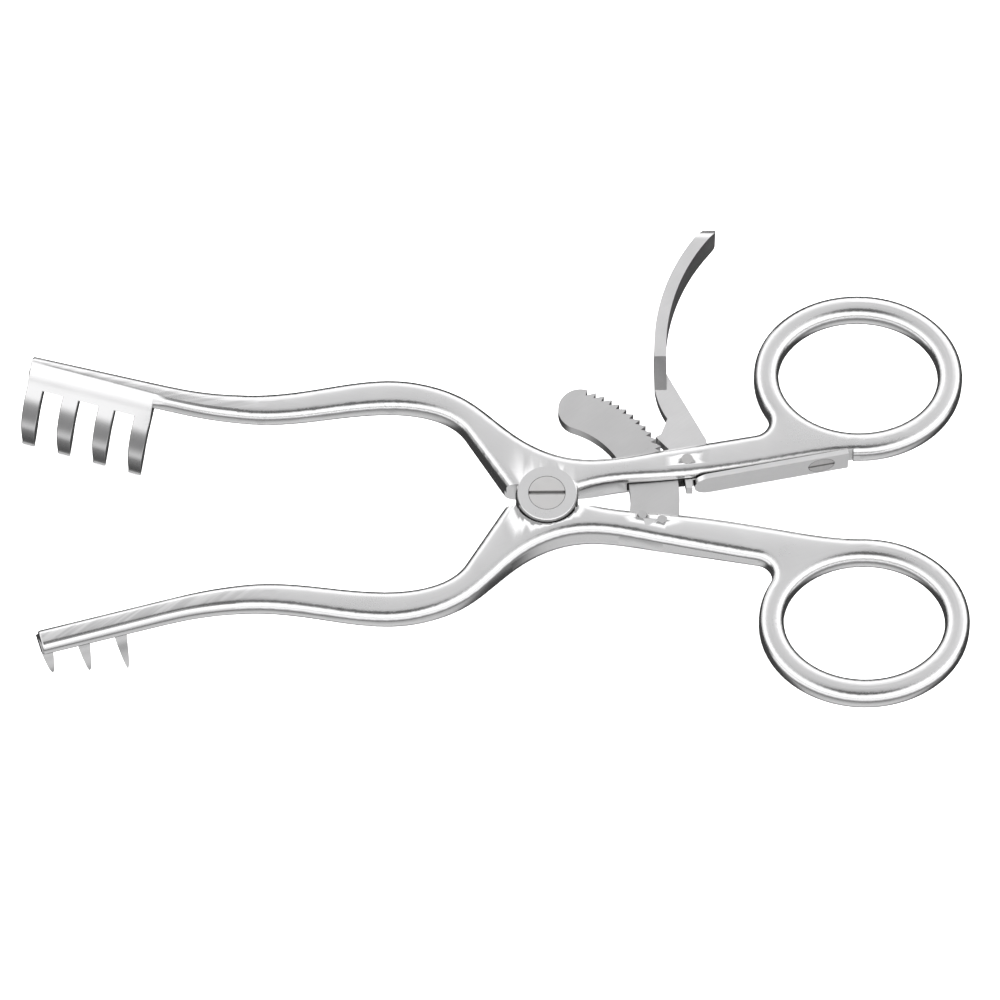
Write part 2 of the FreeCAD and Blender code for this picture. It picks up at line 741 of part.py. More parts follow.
lower_tools = lap_recess("lower", False)
lower_solid = fuse("lower_solid", [lower_blank, lower_row])
lower_trimmed = cut("lower_trimmed", lower_solid, fuse("lower_lap", lower_tools))
lower_joined = fuse("lower_joined", [lower_trimmed, lower_disc])
lower_cuts = [cylinder("screw_seat", "Sizes.screw_shank_radius", TOP), root_slot]
lower_cuts += [rivet(name, reach, "way") for name, reach in RIVETS]
three_prong_arm = cut("three_prong_arm", lower_joined, fuse("lower_cuts", lower_cuts))

rack_rivets = common("rack_rivets", [
    fuse("rivet_rods", [rivet(name, reach, "rod") for name, reach in RIVETS]), envelope])
lever_pin = common("lever_pin", [
    cylinder("pin_rod", "Sizes.lever_pin_radius", TOP, PIVOT_X, PIVOT_Y), envelope])


# Joint screw: turned head and shank, slotted across the head

joint_screw = body_named("joint_screw")
screw_profile = sketch_on(joint_screw, "joint_screw_profile", "XZ_Plane")
head_base = f"{TOP} - Sizes.screw_head_height"
draw_outline(screw_profile, [
    ("0", "0"),
    ("Sizes.screw_shank_radius", "0"),
    ("Sizes.screw_shank_radius", head_base),
    ("Sizes.screw_head_radius", head_base),
    ("Sizes.screw_head_radius", TOP),
    ("0", TOP),
])
revolve(joint_screw, "joint_screw_turning", screw_profile)
screw_slot = sketch_on(joint_screw, "joint_screw_slot", "YZ_Plane")
draw_outline(screw_slot, [
    ("-Sizes.screw_slot_width / 2", f"{TOP} - Sizes.screw_slot_depth"),
    ("Sizes.screw_slot_width / 2", f"{TOP} - Sizes.screw_slot_depth"),
    ("Sizes.screw_slot_width / 2", f"{TOP} + Sizes.screw_slot_depth"),
    ("-Sizes.screw_slot_width / 2", f"{TOP} + Sizes.screw_slot_depth"),
])
pocket_through(joint_screw, "joint_screw_slot_cut", screw_slot)


# Ratchet rack: curved bar with a round free end and saw teeth on its outer rim

def polar(radius, angle):
    return (f"{radius} * cos({angle})", f"{radius} * sin({angle})")


ratchet_rack = body_named("ratchet_rack")
rack_profile = sketch_on(ratchet_rack, "rack_profile", "XY_Plane", MIDDLE)
INNER, TIP, OUTER = "Sizes.rack_inner_radius", "Sizes.rack_tip_radius", RACK_OUTER
FREE, ROOT = "Sizes.rack_free_angle", "Sizes.rack_root_angle"
LAST = "(Sizes.rack_free_angle - Sizes.rack_teeth * Sizes.tooth_pitch_angle)"
draw_outline(rack_profile, [
    polar(INNER, ROOT),
    polar(OUTER, ROOT),
    polar(OUTER, LAST),
    polar(TIP, LAST),
    polar(TIP, FREE),
    polar(INNER, FREE),
], {1: OUTER, 3: TIP, 4: "half turn", 5: f"-{INNER}"})
pad(ratchet_rack, "rack_plate", rack_profile, "Sizes.rack_thickness")
tooth_gap = sketch_on(ratchet_rack, "tooth_gap", "XY_Plane", MIDDLE)
NEXT = "(Sizes.rack_free_angle - Sizes.tooth_pitch_angle)"
DEEP = "(Sizes.rack_tip_radius - Sizes.tooth_depth)"
CLEAR = "(Sizes.rack_tip_radius + Sizes.tooth_depth / 4)"
draw_outline(tooth_gap, [
    polar(DEEP, FREE),
    polar(TIP, NEXT),
    polar(CLEAR, NEXT),
    polar(CLEAR, FREE),
])
gap_cut = pocket_through(ratchet_rack, "tooth_gap_cut", tooth_gap)
teeth = ratchet_rack.newObject("PartDesign::PolarPattern", "teeth")
teeth.Originals = [gap_cut]
teeth.Axis = (tooth_gap, ["N_Axis"])
teeth.Reversed = True
teeth.setExpression("Angle", "Sizes.tooth_pitch_angle * (Sizes.rack_teeth - 1)")
teeth.setExpression("Occurrences", "Sizes.rack_teeth")
ratchet_rack.Tip = teeth
rack_holes = sketch_on(ratchet_rack, "rack_rivet_holes", "XY_Plane", MIDDLE)
for name, reach in RIVETS:
    spot = polar(reach, "Sizes.rivet_angle")
    centre = point(sheet.evalExpression(spot[0]), sheet.evalExpression(spot[1]))
    number = rack_holes.addGeometry(Part.Circle(centre, Vector(0, 0, 1), size("rivet_radius")), False)
    rack_holes.addConstraint(Sketcher.Constraint("Radius", number, size("rivet_radius")))
    rack_holes.renameConstraint(rack_holes.ConstraintCount - 1, f"{name}_radius")
    rack_holes.setExpression(f"Constraints.{name}_radius", "Sizes.rivet_radius")
    rack_holes.addConstraint(Sketcher.Constraint("DistanceX", -1, 1, number, 3, centre.x))
    rack_holes.renameConstraint(rack_holes.ConstraintCount - 1, f"{name}_x")
    rack_holes.setExpression(f"Constraints.{name}_x", spot[0])
    rack_holes.addConstraint(Sketcher.Constraint("DistanceY", number, 3, -1, 1, -centre.y))
    rack_holes.renameConstraint(rack_holes.ConstraintCount - 1, f"{name}_y")
    rack_holes.setExpression(f"Constraints.{name}_y", f"-({spot[1]})")
pocket_through(ratchet_rack, "rack_rivet_hole_cut", rack_holes)


# Release lever: flat web with the pawl's beak, and a thumb paddle turned edge-on to the web

release_lever = body_named("release_lever")
web_profile = sketch_on(release_lever, "lever_web_profile", "XY_Plane", MIDDLE)
BEAK_RADIUS = "(Sizes.rack_tip_radius + Sizes.beak_gap)"
BACK_RADIUS = f"({RACK_OUTER} + Sizes.rack_slot_gap)"
FOOT_GAP = "Sizes.spring_gap"
paddle_foot_y = f"({PIVOT_Y} + Sizes.paddle_foot_rise)"
paddle_bend_y = f"({PIVOT_Y} + Sizes.paddle_bend_rise)"
paddle_left = f"({PIVOT_X} - Sizes.paddle_foot_left - Sizes.paddle_thickness / 2)"
paddle_right = f"({PIVOT_X} - Sizes.paddle_foot_left + Sizes.paddle_thickness / 2)"
neck_y = f"{PIVOT_Y} + Sizes.lever_neck_rise"
tail_left = f"({PIVOT_X} - Sizes.lever_tail_left)"
tail_right = f"({tail_left} + Sizes.lever_tail_width)"
tail_y = f"{PIVOT_Y} - Sizes.lever_tail_drop"
foot_x = f"({PIVOT_X} + Sizes.lever_foot_right)"
draw_outline(web_profile, [
    polar(BEAK_RADIUS, "Sizes.beak_angle"),
    polar(BACK_RADIUS, "(Sizes.beak_angle - Sizes.beak_span)"),
    (f"{PIVOT_X} - Sizes.lever_throat_left", PIVOT_Y),
    (tail_left, tail_y),
    (tail_right, tail_y),
    (tail_right, spring_top(tail_right) + f" + {FOOT_GAP}"),
    (foot_x, spring_top(foot_x) + f" + {FOOT_GAP}"),
    (f"{PIVOT_X} + Sizes.lever_back_right", f"{PIVOT_Y} + Sizes.lever_pin_radius"),
    (f"{PIVOT_X} + Sizes.lever_heel_right", f"{PIVOT_Y} + Sizes.lever_heel_rise"),
    (paddle_right, neck_y),
    (paddle_left, f"{neck_y} - Sizes.paddle_thickness"),
    (f"{PIVOT_X} - Sizes.lever_cheek_left", f"{PIVOT_Y} + Sizes.lever_cheek_rise"),
    polar("(Sizes.rack_tip_radius + Sizes.tooth_depth + Sizes.beak_gap)", "Sizes.beak_angle"),
], {10: "Sizes.lever_neck_radius"})
pad(release_lever, "lever_web", web_profile, "Sizes.lever_thickness")
paddle_profile = sketch_on(release_lever, "paddle_profile", "XY_Plane", MIDDLE)
BEND = "Sizes.paddle_bend_angle"
centre_x = f"({PIVOT_X} - Sizes.paddle_foot_left + Sizes.paddle_bend_radius)"
left_radius = "(Sizes.paddle_bend_radius + Sizes.paddle_thickness / 2)"
right_radius = "(Sizes.paddle_bend_radius - Sizes.paddle_thickness / 2)"
draw_outline(paddle_profile, [
    (paddle_left, paddle_foot_y),
    (paddle_right, paddle_foot_y),
    (paddle_right, paddle_bend_y),
    (f"{centre_x} - {right_radius} * cos({BEND})", f"{paddle_bend_y} + {right_radius} * sin({BEND})"),
    (f"{centre_x} - {left_radius} * cos({BEND})", f"{paddle_bend_y} + {left_radius} * sin({BEND})"),
    (paddle_left, paddle_bend_y),
], {2: f"-{right_radius}", 3: "half turn", 4: left_radius})
pad(release_lever, "paddle", paddle_profile, "Sizes.paddle_width")
shoulder_cut = sketch_on(release_lever, "paddle_shoulders", "YZ_Plane")
for side in ("+", "-"):
    draw_outline(shoulder_cut, [
        (f"{paddle_foot_y} - {PAST}", f"{MIDDLE} {side} Sizes.lever_thickness / 2"),
        (paddle_foot_y, f"{MIDDLE} {side} Sizes.lever_thickness / 2"),
        (f"{paddle_foot_y} + Sizes.paddle_flare", f"{MIDDLE} {side} Sizes.paddle_width / 2"),
        (f"{paddle_foot_y} + Sizes.paddle_flare", f"{MIDDLE} {side} (Sizes.paddle_width / 2 + {PAST})"),
        (f"{paddle_foot_y} - {PAST}", f"{MIDDLE} {side} (Sizes.paddle_width / 2 + {PAST})"),
    ])
pocket_through(release_lever, "paddle_shoulder_cut", shoulder_cut)
tip_round = sketch_on(release_lever, "paddle_tip_corners", "YZ_Plane")
TIP_ROUNDING = "Sizes.paddle_tip_radius"
paddle_end = f"({paddle_bend_y} + {left_radius} * sin({BEND}))"
for side, turn in (("+", f"-{TIP_ROUNDING}"), ("-", TIP_ROUNDING)):
    draw_outline(tip_round, [
        (f"{paddle_end} - {TIP_ROUNDING}", f"{MIDDLE} {side} Sizes.paddle_width / 2"),
        (paddle_end, f"{MIDDLE} {side} (Sizes.paddle_width / 2 - {TIP_ROUNDING})"),
        (f"{paddle_end} + {PAST}", f"{MIDDLE} {side} (Sizes.paddle_width / 2 - {TIP_ROUNDING})"),
        (f"{paddle_end} + {PAST}", f"{MIDDLE} {side} (Sizes.paddle_width / 2 + {PAST})"),
        (f"{paddle_end} - {TIP_ROUNDING}", f"{MIDDLE} {side} (Sizes.paddle_width / 2 + {PAST})"),
    ], {0: turn})
pocket_through(release_lever, "paddle_tip_cut", tip_round)
pivot_hole = sketch_on(release_lever, "lever_pivot_hole", "XY_Plane", MIDDLE)
pivot = point(sheet.evalExpression(PIVOT_X), sheet.evalExpression(PIVOT_Y))
pivot_hole.addGeometry(Part.Circle(pivot, Vector(0, 0, 1), size("lever_pin_radius") + size("lever_pin_gap")), False)
for kind, ends, value, name, formula in (
        ("Radius", (0,), size("lever_pin_radius") + size("lever_pin_gap"), "hole_radius",
         "Sizes.lever_pin_radius + Sizes.lever_pin_gap"),
        ("DistanceX", (-1, 1, 0, 3), pivot.x, "hole_x", PIVOT_X),
        ("DistanceY", (-1, 1, 0, 3), pivot.y, "hole_y", PIVOT_Y)):
    pivot_hole.addConstraint(Sketcher.Constraint(kind, *ends, value))
    pivot_hole.renameConstraint(pivot_hole.ConstraintCount - 1, name)
    pivot_hole.setExpression(f"Constraints.{name}", formula)
pocket_through(release_lever, "lever_pivot_cut", pivot_hole)


# Leaf spring: flat strip with a round free end, screwed down near the ring

leaf_spring = body_named("leaf_spring")
spring_profile = sketch_on(leaf_spring, "spring_profile", "XZ_Plane")
SPRING_LENGTH = f"(Sizes.spring_seat_x - {SPRING_TIP_X}) / cos(Sizes.spring_slope)"
HALF = "Sizes.spring_width / 2"
TIP_ROUND = "Sizes.spring_tip_round"
draw_outline(spring_profile, [
    ("0", f"-{HALF} + {TIP_ROUND}"),
    (TIP_ROUND, f"-{HALF}"),
    (SPRING_LENGTH, f"-{HALF}"),
    (SPRING_LENGTH, HALF),
    (TIP_ROUND, HALF),
    ("0", f"{HALF} - {TIP_ROUND}"),
], {0: TIP_ROUND, 4: TIP_ROUND})
strip = leaf_spring.newObject("PartDesign::Pad", "spring_strip")
strip.Profile = spring_profile
strip.setExpression("Length", "Sizes.spring_thickness")
SCREW_ALONG = f"(Sizes.spring_screw_x - {SPRING_TIP_X}) / cos(Sizes.spring_slope)"
way = sketch_on(leaf_spring, "spring_screw_room", "XY_Plane")
ROOM = "(Sizes.spring_screw_head_radius + Sizes.spring_gap)"
SHANK_ROOM = "(Sizes.spring_screw_shank_radius + Sizes.spring_gap)"
SEAT = "Sizes.spring_screw_head_height"
draw_outline(way, [
    (SCREW_ALONG, PAST),
    (f"{SCREW_ALONG} - {SHANK_ROOM}", PAST),
    (f"{SCREW_ALONG} - {SHANK_ROOM}", f"{SEAT} - Sizes.spring_thickness"),
    (f"{SCREW_ALONG} - {ROOM}", f"{SEAT} - Sizes.spring_thickness"),
    (f"{SCREW_ALONG} - {ROOM}", f"-Sizes.spring_thickness - {PAST}"),
    (SCREW_ALONG, f"-Sizes.spring_thickness - {PAST}"),
])
room = leaf_spring.newObject("PartDesign::Groove", "spring_screw_hole")
room.Profile = way
room.ReferenceAxis = (way, ["Edge6"])
room.Angle = 360
tip_x = sheet.evalExpression(SPRING_TIP_X)
tip_y = sheet.evalExpression(spring_top(SPRING_TIP_X))
leaf_spring.Placement = FreeCAD.Placement(point(tip_x, tip_y, mid_height), spring_turn)

spring_screw = body_named("spring_screw")
spring_screw_profile = sketch_on(spring_screw, "spring_screw_profile", "XZ_Plane")
draw_outline(spring_screw_profile, [
    ("0", "-Sizes.spring_screw_length"),
    ("Sizes.spring_screw_shank_radius", "-Sizes.spring_screw_length"),
    ("Sizes.spring_screw_shank_radius", f"Sizes.spring_thickness - {SEAT} + Sizes.spring_gap"),
    ("Sizes.spring_screw_head_radius", f"Sizes.spring_thickness - {SEAT} + Sizes.spring_gap"),
    ("Sizes.spring_screw_head_radius", "Sizes.spring_thickness"),
    ("0", "Sizes.spring_thickness"),
])
revolve(spring_screw, "spring_screw_turning", spring_screw_profile)
spring_screw_slot = sketch_on(spring_screw, "spring_screw_slot", "YZ_Plane")
SLOT = "Sizes.spring_screw_slot_width / 2"
draw_outline(spring_screw_slot, [
    (f"-{SLOT}", f"Sizes.spring_thickness - {SEAT} / 2"),
    (SLOT, f"Sizes.spring_thickness - {SEAT} / 2"),
    (SLOT, f"Sizes.spring_thickness + {SEAT}"),
    (f"-{SLOT}", f"Sizes.spring_thickness + {SEAT}"),
])
pocket_through(spring_screw, "spring_screw_slot_cut", spring_screw_slot)
spring_screw.Placement = FreeCAD.Placement(screw_point, square_on_spring)


# Check the document, then write each piece

PIECES = [four_prong_arm, three_prong_arm, joint_screw, ratchet_rack, rack_rivets, release_lever,
          lever_pin, leaf_spring, spring_screw]

document.recompute()
for item in document.Objects:
    if "Invalid" in item.State or "Error" in item.State:
        raise RuntimeError(f"{item.Label} failed: {item.State}")
for piece in PIECES:
    if piece.Shape.isNull() or not piece.Shape.isValid():
        raise RuntimeError(f"{piece.Label} has no valid shape")

os.makedirs("parts", exist_ok=True)
for piece in PIECES:
    piece.Shape.exportStep(f"parts/{piece.Label}.step")
    print(piece.Label, len(piece.Shape.Solids), round(piece.Shape.Volume, 1))
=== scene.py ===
import math

import bmesh
import bpy
from mathutils import Matrix, Vector


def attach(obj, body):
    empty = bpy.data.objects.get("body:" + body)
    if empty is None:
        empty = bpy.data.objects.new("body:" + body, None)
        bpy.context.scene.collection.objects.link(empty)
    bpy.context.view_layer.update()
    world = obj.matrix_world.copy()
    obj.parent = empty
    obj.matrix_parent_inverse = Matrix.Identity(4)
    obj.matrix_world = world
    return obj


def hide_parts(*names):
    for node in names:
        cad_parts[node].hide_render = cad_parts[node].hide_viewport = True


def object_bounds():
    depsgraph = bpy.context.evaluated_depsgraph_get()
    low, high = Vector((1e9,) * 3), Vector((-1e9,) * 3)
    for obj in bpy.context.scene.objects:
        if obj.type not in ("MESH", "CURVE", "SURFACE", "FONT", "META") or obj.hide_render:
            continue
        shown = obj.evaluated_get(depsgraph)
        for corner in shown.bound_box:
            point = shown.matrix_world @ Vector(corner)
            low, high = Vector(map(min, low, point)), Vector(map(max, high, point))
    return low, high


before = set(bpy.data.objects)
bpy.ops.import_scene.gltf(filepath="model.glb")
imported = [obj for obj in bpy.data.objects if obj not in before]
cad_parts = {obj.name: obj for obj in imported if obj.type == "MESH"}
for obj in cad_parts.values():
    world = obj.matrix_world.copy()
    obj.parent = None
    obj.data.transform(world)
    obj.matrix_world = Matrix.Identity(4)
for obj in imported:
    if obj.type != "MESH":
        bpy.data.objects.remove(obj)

cad_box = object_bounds()
MM = 0.001


# Shader values

class Value:
    """One socket of a finish; arithmetic on it adds Math nodes."""

    def __init__(self, finish, socket):
        self.finish = finish
        self.socket = socket

    def math(self, operation, *values):
        return self.finish.node("ShaderNodeMath", {"operation": operation}, values).out("Value")

    def __add__(self, other):
        return self.math("ADD", self, other)

    def __radd__(self, other):
        return self.math("ADD", other, self)

    def __sub__(self, other):
        return self.math("SUBTRACT", self, other)

    def __rsub__(self, other):
        return self.math("SUBTRACT", other, self)

    def __mul__(self, other):
        return self.math("MULTIPLY", self, other)

    def __rmul__(self, other):
        return self.math("MULTIPLY", other, self)

    def __abs__(self):
        return self.math("ABSOLUTE", self)

    def sine(self):
        return self.math("SINE", self)

    def root(self):
        return self.math("SQRT", self)

    def at_least(self, other):
        return self.math("MAXIMUM", self, other)

    def ramp(self, low, high):
        """0 below low, 1 above high and a smooth rise between; falls where low is the larger."""
        settings = {"interpolation_type": "SMOOTHSTEP"}
        values = {"Value": self, "From Min": min(low, high), "From Max": max(low, high)}
        rise = self.finish.node("ShaderNodeMapRange", settings, values).out("Result")
        return rise if low < high else 1 - rise


class Node:
    """A shader node with its outputs wrapped as values."""

    def __init__(self, finish, node):
        self.finish = finish
        self.node = node

    def out(self, name):
        return Value(self.finish, self.node.outputs[name])


class Finish:
    """The nodes of one material."""

    def __init__(self, name):
        self.material = bpy.data.materials.new(name)
        self.material.use_nodes = True
        self.tree = self.material.node_tree
        self.tree.nodes.clear()

    def node(self, kind, settings=None, values=()):
        made = self.tree.nodes.new(kind)
        for name, setting in (settings or {}).items():
            setattr(made, name, setting)
        pairs = values.items() if isinstance(values, dict) else enumerate(values)
        for key, value in pairs:
            if isinstance(value, Value):
                self.tree.links.new(value.socket, made.inputs[key])
            else:
                made.inputs[key].default_value = value
        return Node(self, made)

    def place(self):
        """Position on the object, in millimetres."""
        position = self.node("ShaderNodeTexCoord").out("Object")
        return self.scaled(position, 1 / MM)

    def scaled(self, vector, factor):
        factors = factor if isinstance(factor, tuple) else (factor,) * 3
        return self.node("ShaderNodeVectorMath", {"operation": "MULTIPLY"}, (vector, factors)).out("Vector")

    def turned(self, vector, angle, centre=(0, 0, 0)):
        """The vector seen from axes turned by an angle in degrees about +Z."""
        values = {"Vector": vector, "Center": centre, "Angle": -math.radians(angle)}
        return self.node("ShaderNodeVectorRotate", {"rotation_type": "Z_AXIS"}, values).out("Vector")

    def parts(self, vector):
        split = self.node("ShaderNodeSeparateXYZ", None, (vector,))
        return split.out("X"), split.out("Y"), split.out("Z")

    def facing(self):
        """Parts of the surface's own normal, in the object's axes."""
        return self.parts(self.node("ShaderNodeTexCoord").out("Normal"))

    def noise(self, vector, scale, detail=2.0, roughness=0.5):
        values = {"Vector": vector, "Scale": scale, "Detail": detail, "Roughness": roughness}
        return self.node("ShaderNodeTexNoise", None, values).out("Fac")

    def mix(self, amount, first, second):
        """Colour between first and second."""
        made = self.tree.nodes.new("ShaderNodeMix")
        made.data_type = "RGBA"
        made.clamp_factor = False
        for socket, value in ((made.inputs[0], amount), (made.inputs[6], first), (made.inputs[7], second)):
            if isinstance(value, Value):
                self.tree.links.new(value.socket, socket)
            else:
                socket.default_value = value
        return Value(self, made.outputs[2])

    def painted_hollow_shade(self, distance):
        """Painted shade from ambient occlusion: 0 in a narrow hollow and 1 on open metal, for darkening the
        colour there.
        """
        settings = {"samples": 8, "only_local": False}
        return self.node("ShaderNodeAmbientOcclusion", settings, {"Distance": distance * MM}).out("AO")

    def bump(self, height, depth, normal=None):
        """Normal over a height of 0 to 1 that stands for a depth in millimetres."""
        values = {"Height": height, "Strength": 1.0, "Distance": depth * MM}
        if normal is not None:
            values["Normal"] = normal
        return self.node("ShaderNodeBump", None, values).out("Normal")

    def metal(self, colour, roughness, normal):
        values = {"Base Color": colour, "Metallic": 1.0, "Roughness": roughness, "Normal": normal}
        surface = self.node("ShaderNodeBsdfPrincipled", None, values).out("BSDF")
        self.node("ShaderNodeOutputMaterial", None, {"Surface": surface})
        return self.material


def grey(value, warmth=0.0):
    return (value * (1 + warmth), value, value * (1 - warmth), 1)


# Finishes

def forged_steel(name, jaw_angle):
    """Satin arm: soft cloudy polish and fine marks along the jaw."""
    finish = Finish(name)
    place = finish.place()
    x, y, z = finish.parts(place)
    face_x, face_y, face_z = finish.facing()
    flat = abs(face_z).ramp(0.86, 0.985)
    clouds = finish.noise(place, 0.09, 3.0, 0.55)
    specks = finish.noise(place, 2.6, 3.0, 0.6)
    along = finish.turned(place, jaw_angle)
    lay = finish.noise(finish.scaled(along, (0.25, 4.5, 4.5)), 1.0, 3.0, 0.6)
    slanted = finish.turned(place, jaw_angle + 24)
    grind = finish.noise(finish.scaled(slanted, (0.06, 1.5, 0.4)), 1.0, 2.0, 0.5)
    on_jaw = x.ramp(-42, -60) * flat
    painted_hollow_shade = finish.painted_hollow_shade(1.2)
    shade = 0.88 + 0.10 * clouds + 0.05 * (lay - 0.5) + 0.22 * on_jaw * (grind.ramp(0.36, 0.64) - 0.6)
    # Painted shade: the colour runs dark where ambient occlusion finds the metal hemmed in, in hollows and
    # gaps.
    colour = finish.mix(shade * painted_hollow_shade.ramp(0.05, 0.75), grey(0.03, 0.02), grey(0.86, 0.003))
    roughness = 0.22 + 0.07 * flat + 0.08 * (clouds - 0.5) + 0.05 * (specks - 0.5)
    height = 0.5 * lay * flat + 0.35 * specks + 0.6 * on_jaw * grind
    return finish.metal(colour, roughness.at_least(0.12), finish.bump(height, 0.012))


def ground_steel(name, tone):
    """Flat plate ground in one direction."""
    finish = Finish(name)
    place = finish.place()
    turned = finish.turned(place, 35)
    lay = finish.noise(finish.scaled(turned, (0.3, 6.0, 6.0)), 1.0, 3.0, 0.6)
    clouds = finish.noise(place, 0.16, 2.0, 0.5)
    painted_hollow_shade = finish.painted_hollow_shade(1.0)
    shade = 0.84 + 0.12 * clouds + 0.08 * (lay - 0.5)
    # Painted shade: the colour runs dark where ambient occlusion finds the metal hemmed in, in hollows and
    # gaps.
    colour = finish.mix(shade * painted_hollow_shade.ramp(0.05, 0.7), grey(0.03, 0.02), grey(tone, 0.004))
    roughness = 0.30 + 0.08 * (clouds - 0.5) + 0.06 * (lay - 0.5)
    return finish.metal(colour, roughness, finish.bump(lay, 0.01))


def turned_steel(name, centre, tone):
    """Screw head with the fine rings that a lathe leaves."""
    finish = Finish(name)
    place = finish.place()
    x, y, z = finish.parts(place)
    radius = ((x - centre[0]) * (x - centre[0]) + (y - centre[1]) * (y - centre[1])).root()
    rings = (radius * 22 + finish.noise(place, 0.8) * 3).sine()
    clouds = finish.noise(place, 0.5, 2.0, 0.5)
    painted_hollow_shade = finish.painted_hollow_shade(0.5)
    shade = 0.86 + 0.1 * clouds + 0.03 * rings
    # Painted shade: the colour runs dark where ambient occlusion finds the metal hemmed in, in the slot and
    # round the head.
    colour = finish.mix(shade * painted_hollow_shade.ramp(0.05, 0.8), grey(0.03, 0.02), grey(tone, 0.012))
    roughness = 0.26 + 0.06 * clouds
    return finish.metal(colour, roughness, finish.bump(rings * 0.5 + 0.5, 0.004))


finishes = {
    "four_prong_arm": forged_steel("upper arm steel", -14.6),
    "three_prong_arm": forged_steel("lower arm steel", 14.6),
    "joint_screw": turned_steel("joint screw steel", (0, 0), 0.84),
    "ratchet_rack": ground_steel("rack steel", 0.76),
    "rack_rivets": ground_steel("rivet steel", 0.7),
    "release_lever": ground_steel("lever steel", 0.90),
    "lever_pin": turned_steel("lever pin steel", (24.4, 6.7), 0.7),
    "leaf_spring": ground_steel("spring steel", 0.92),
    "spring_screw": turned_steel("spring screw steel", (47.6, 7.6), 0.7),
}
for node, material in finishes.items():
    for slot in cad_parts[node].material_slots:
        slot.material = material


# Shapes, in millimetres until a mesh is made of them

def smooth(value, low, high):
    """0 at low, 1 at high and a smooth rise between."""
    share = min(max((value - low) / (high - low), 0.0), 1.0)
    return share * share * (3 - 2 * share)


def between(table, x):
    """Values at x on a smooth curve through the rows of a table, each of which starts with its x."""
    if x <= table[0][0]:
        return table[0][1:]
    if x >= table[-1][0]:
        return table[-1][1:]
    row = next(number for number in range(len(table) - 1) if x <= table[number + 1][0])
    before, here = table[max(row - 1, 0)], table[row]
    after, beyond = table[row + 1], table[min(row + 2, len(table) - 1)]
    span = after[0] - here[0]
    share = (x - here[0]) / span
    found = []
    for column in range(1, len(here)):
        rise = after[column] - here[column]
        slope = (after[column] - before[column]) / (after[0] - before[0]) * span
        slope_after = (beyond[column] - here[column]) / (beyond[0] - here[0]) * span
        found.append(here[column] + share * (slope + share * (
            3 * rise - 2 * slope - slope_after + share * (slope + slope_after - 2 * rise))))
    return found


# Distance along x; the forging's outer edge, inner edge, top and underside there; and how far the
# picture's bow lies outside the forging's, at its outer and at its inner edge
BOW = [
    (-66.0, 22.61, 18.67, 5.91, 1.41, 0.00, 0.00),
    (-62.0, 21.60, 17.61, 5.97, 1.41, 0.10, 0.04),
    (-58.0, 20.73, 16.62, 6.03, 1.40, 0.34, 0.19),
    (-54.0, 20.12, 15.84, 6.12, 1.38, 0.60, 0.38),
    (-50.0, 19.90, 15.41, 6.13, 1.37, 0.70, 0.45),
    (-46.0, 20.14, 15.43, 6.15, 1.35, 0.70, 0.46),
    (-42.0, 20.71, 15.79, 6.17, 1.33, 0.63, 0.44),
    (-38.0, 21.42, 16.32, 6.20, 1.30, 0.58, 0.42),
    (-34.0, 22.10, 16.83, 6.24, 1.26, 0.54, 0.40),
    (-30.0, 22.58, 17.19, 6.29, 1.21, 0.49, 0.38),
    (-27.0, 22.70, 17.30, 6.33, 1.17, 0.44, 0.36),
    (-24.0, 22.54, 17.19, 6.38, 1.12, 0.34, 0.28),
    (-20.0, 21.85, 16.55, 6.47, 1.03, 0.13, 0.12),
    (-16.0, 20.41, 14.72, 6.63, 0.87, 0.00, 0.00),
]
BOW_START = BOW[0][0]
BOW_END = BOW[-1][0]
JAW_CUT = -54.0
JAW_END = (-89.4, 28.7)
LOWER_JAW_END_X = -86.9
JAW_SLOPE = math.radians(14.6)
JAW_RISE = math.tan(JAW_SLOPE)
JAW_TOP = 5.55
JAW_TOP_RISE = 0.0147
# How far the jaw's inner corner lies ahead of its outer one at a square end
END_SLANT = 0.252 * 3.93
PLATE_TURN = math.radians(17.2)
PLATE_END = 22.9
STRIP = 1.5
CLAW_PITCH = 6.57
CLAW_WIDTH = 2.9
CLAW_ROUNDING = 0.30


def set_outwards(place, side):
    """A corner of the bow's metal, moved with the bow's edge that it is nearest to."""
    if place.x > BOW_END:
        return Vector((0, 0, 0))
    outer, inner, top, underside, move_outer, move_inner = between(BOW, place.x)
    share = smooth((place.y * side - inner) / (outer - inner), 0.0, 1.0)
    return Vector((0, side * (move_inner + (move_outer - move_inner) * share), 0))


def jaw_section(x):
    """Outer edge, inner edge, top and underside of a jaw at a distance along x."""
    if x >= BOW_START:
        outer, inner, top, underside, move_outer, move_inner = between(BOW, x)
        return outer + move_outer, inner + move_inner, top, underside
    outer = JAW_END[1] - (x - JAW_END[0]) * JAW_RISE
    past = x - BOW_START
    return outer, outer - 3.94 + past * 0.003, 5.91 + past * 0.0150, 1.41 - past * 0.0028


def plate_place(along, outward, up):
    """Place of a point given along the jaw's plate, outward from its top edge, and up."""
    start_x = JAW_END[0] - math.sin(JAW_SLOPE) * STRIP
    start_y = JAW_END[1] - math.cos(JAW_SLOPE) * STRIP
    return Vector((start_x + along * math.cos(PLATE_TURN) + outward * math.sin(PLATE_TURN),
                   start_y - along * math.sin(PLATE_TURN) + outward * math.cos(PLATE_TURN), up))


